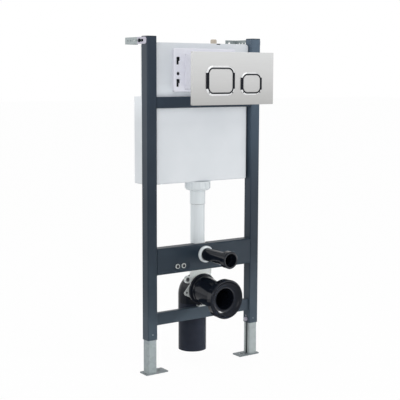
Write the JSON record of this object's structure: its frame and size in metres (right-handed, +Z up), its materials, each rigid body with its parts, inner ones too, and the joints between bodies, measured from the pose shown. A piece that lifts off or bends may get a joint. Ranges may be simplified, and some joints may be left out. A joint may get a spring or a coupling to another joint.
{
  "type": "wall hung toilet frame",
  "caption": "Steel installation frame for a wall hung toilet, with telescopic feet, wall brackets, concealed cistern, dual flush plate, flush pipe and black waste bend.",
  "frame": {"origin": "middle of the left wall flange, on its wall side", "axes": "+X to the right seen from the front, +Y towards the wall, +Z up"},
  "size_m": [0.4872, 0.3065, 1.145],
  "materials": {
    "frame_paint": "dark blue-grey powder coat, satin",
    "cap_black": "dark moulded plug",
    "galvanised": "galvanised",
    "zinc": "bright zinc plated",
    "cistern_white": "white, satin",
    "flush_steel": "satin",
    "ring_chrome": "polished",
    "inlet_beige": "moulded",
    "pipe_white": "smooth",
    "drain_black": "glossy black"
  },
  "bodies": {
    "frame": {"left_upright": "frame_paint", "right_upright": "frame_paint", "upper_crossbar": "frame_paint", "toilet_beam": "frame_paint", "lower_crossbar": "frame_paint", "left_stud_plate": "frame_paint", "right_stud_plate": "frame_paint", "left_top_cap": "cap_black", "right_top_cap": "cap_black", "left_wall_strap": "galvanised", "right_wall_strap": "galvanised", "left_slot_plate": "zinc", "right_slot_plate": "zinc", "left_stud_bushes": "zinc", "right_stud_bushes": "zinc", "waste_hanger": "zinc", "waste_saddle": "zinc", "cistern_tank": "cistern_white", "cistern_housing": "cistern_white", "access_panel": "cistern_white", "access_shaft": "cistern_white", "plate_carrier": "cistern_white", "flush_plate": "flush_steel", "large_ring": "ring_chrome", "small_ring": "ring_chrome", "inlet_cap": "inlet_beige", "outlet_nut": "pipe_white", "flush_sleeve": "pipe_white", "flush_pipe": "pipe_white", "flush_leg": "pipe_white", "flush_bend": "pipe_white", "flush_collar": "pipe_white", "flush_connector": "drain_black", "flush_cuff": "drain_black", "waste_bend": "drain_black", "waste_spigot": "drain_black", "waste_ring": "drain_black", "pan_connector": "drain_black"},
    "left_leg_body": {"left_leg": "galvanised", "left_foot_plate": "galvanised"},
    "right_leg_body": {"right_leg": "galvanised", "right_foot_plate": "galvanised"},
    "large_button_body": {"large_button": "flush_steel"},
    "small_button_body": {"small_button": "flush_steel"}
  },
  "joints": [
    {"name": "left_leg_slide", "type": "slide", "parent": "frame", "child": "left_leg_body", "axis": [0, 0, 1], "range_m": [-0.08, 0.11]},
    {"name": "right_leg_slide", "type": "slide", "parent": "frame", "child": "right_leg_body", "axis": [0, 0, 1], "range_m": [-0.08, 0.11]},
    {"name": "large_button_press", "type": "slide", "parent": "frame", "child": "large_button_body", "axis": [0, 1, 0], "range_m": [0, 0.005], "stiffness_N_per_m": 800},
    {"name": "small_button_press", "type": "slide", "parent": "frame", "child": "small_button_body", "axis": [0, 1, 0], "range_m": [0, 0.005], "stiffness_N_per_m": 800}
  ]
}
